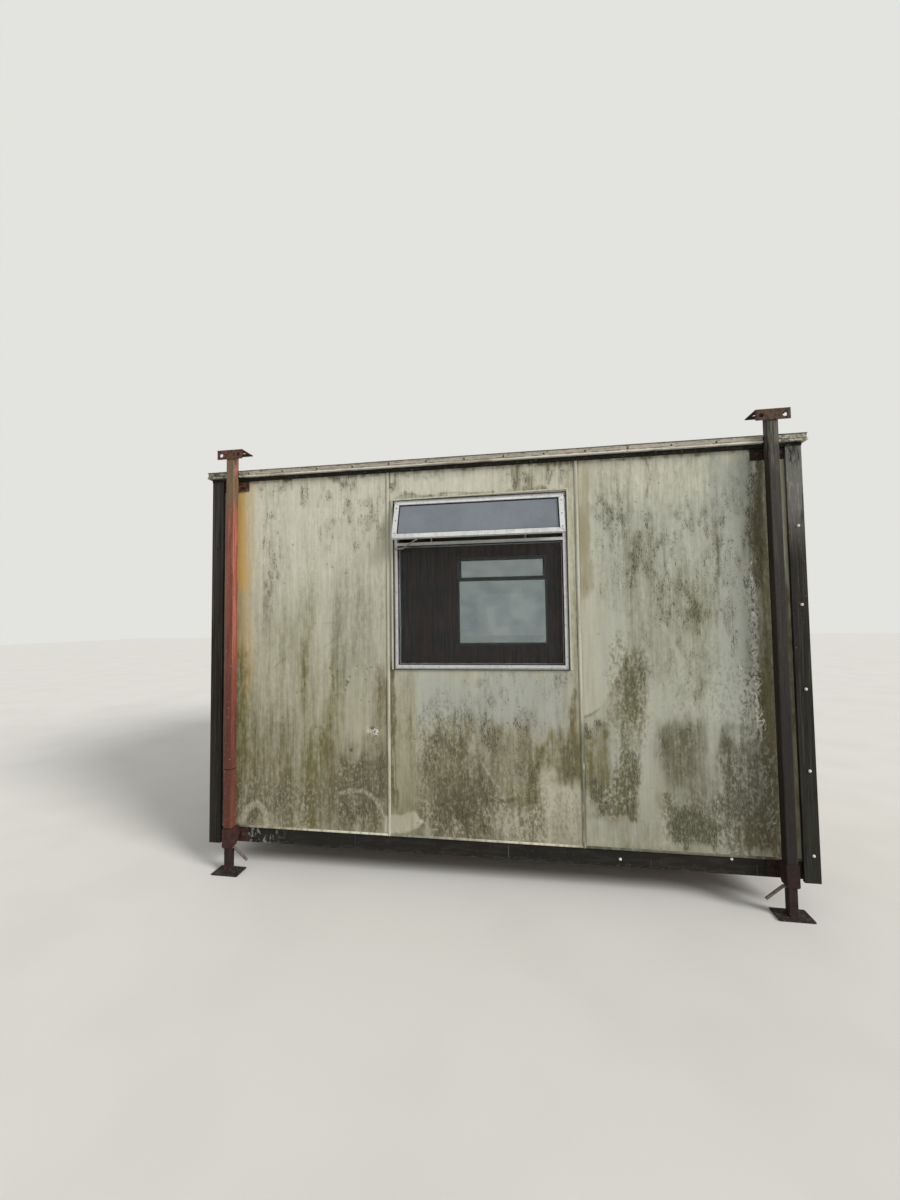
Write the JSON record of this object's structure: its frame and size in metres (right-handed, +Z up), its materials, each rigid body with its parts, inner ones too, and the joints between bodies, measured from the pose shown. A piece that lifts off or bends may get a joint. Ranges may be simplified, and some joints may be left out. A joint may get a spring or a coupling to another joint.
{
  "type": "portable site cabin",
  "caption": "Flat-roofed sheet-clad site cabin on telescopic corner jack legs, with an opening vent over a fixed window on each long side.",
  "frame": {"origin": "on the ground under the middle of the cabin", "axes": "+X along the long side, the pictured window side faces -Y, +Z up"},
  "size_m": [3.81, 3.0315, 2.848],
  "materials": {
    "chassis_steel": "dirty black paint",
    "joist_timber": "rough sawn",
    "deck_board": "plywood",
    "wall_lining": "varnished hardwood plywood",
    "cladding": "weathered matt coating",
    "seam_strip": "weathered matt coating",
    "corner_board": "weathered dark stain",
    "ceiling": "plain board",
    "roof_felt": "mineral felt",
    "fascia": "dark stain",
    "roof_trim": "dull and weathered",
    "window_aluminium": "mill finish, dulled",
    "window_glass": "clear, dusty",
    "stay_metal": "dull",
    "window_surround": "weathered matt coating",
    "door_frame": "weathered dark stain",
    "door_leaf": "weathered matt coating",
    "door_hardware": "dull steel",
    "head_steel": "rusted paint",
    "bracket_steel": "rusted paint",
    "red_oxide_leg": "faded red oxide paint",
    "dark_leg": "rusted dark paint",
    "inner_leg_steel": "rusted steel",
    "pin_steel": "rusted steel"
  },
  "bodies": {
    "cabin": {"chassis_frame": "chassis_steel", "floor_joists": "joist_timber", "floor_deck": "deck_board", "front_wall": "wall_lining", "back_wall": "wall_lining", "left_wall": "wall_lining", "right_wall": "wall_lining", "front_sheets": "cladding", "back_sheets": "cladding", "left_sheets": "cladding", "right_sheets": "cladding", "seam_strips": "seam_strip", "side_corner_boards": "corner_board", "end_corner_boards": "corner_board", "roof_panel": "ceiling", "roof_covering": "roof_felt", "roof_fascia": "fascia", "roof_trim": "roof_trim", "front_window_frame": "window_aluminium", "front_window_glass": "window_glass", "front_vent_sash": "window_aluminium", "front_vent_glass": "window_glass", "front_vent_stay": "stay_metal", "back_window_frame": "window_aluminium", "back_vent_sash": "window_aluminium", "back_glass": "window_glass", "window_surrounds": "window_surround", "door_frame": "door_frame", "door_leaf": "door_leaf", "door_hardware": "door_hardware", "front_left_outer_leg": "red_oxide_leg", "front_right_outer_leg": "dark_leg", "back_left_outer_leg": "dark_leg", "back_right_outer_leg": "red_oxide_leg", "leg_heads": "head_steel", "top_brackets": "bracket_steel", "bottom_brackets": "bracket_steel"},
    "front_left_leg": {"front_left_inner_leg": "inner_leg_steel", "front_left_leg_pin": "pin_steel"},
    "front_right_leg": {"front_right_inner_leg": "inner_leg_steel", "front_right_leg_pin": "pin_steel"},
    "back_left_leg": {"back_left_inner_leg": "inner_leg_steel", "back_left_leg_pin": "pin_steel"},
    "back_right_leg": {"back_right_inner_leg": "inner_leg_steel", "back_right_leg_pin": "pin_steel"}
  },
  "joints": [
    {"name": "front_left_jack", "type": "slide", "parent": "cabin", "child": "front_left_leg", "axis": [0, 0, -1], "range_m": [0, 1.2]},
    {"name": "front_right_jack", "type": "slide", "parent": "cabin", "child": "front_right_leg", "axis": [0, 0, -1], "range_m": [0, 1.2]},
    {"name": "back_left_jack", "type": "slide", "parent": "cabin", "child": "back_left_leg", "axis": [0, 0, -1], "range_m": [0, 1.2]},
    {"name": "back_right_jack", "type": "slide", "parent": "cabin", "child": "back_right_leg", "axis": [0, 0, -1], "range_m": [0, 1.2]}
  ]
}
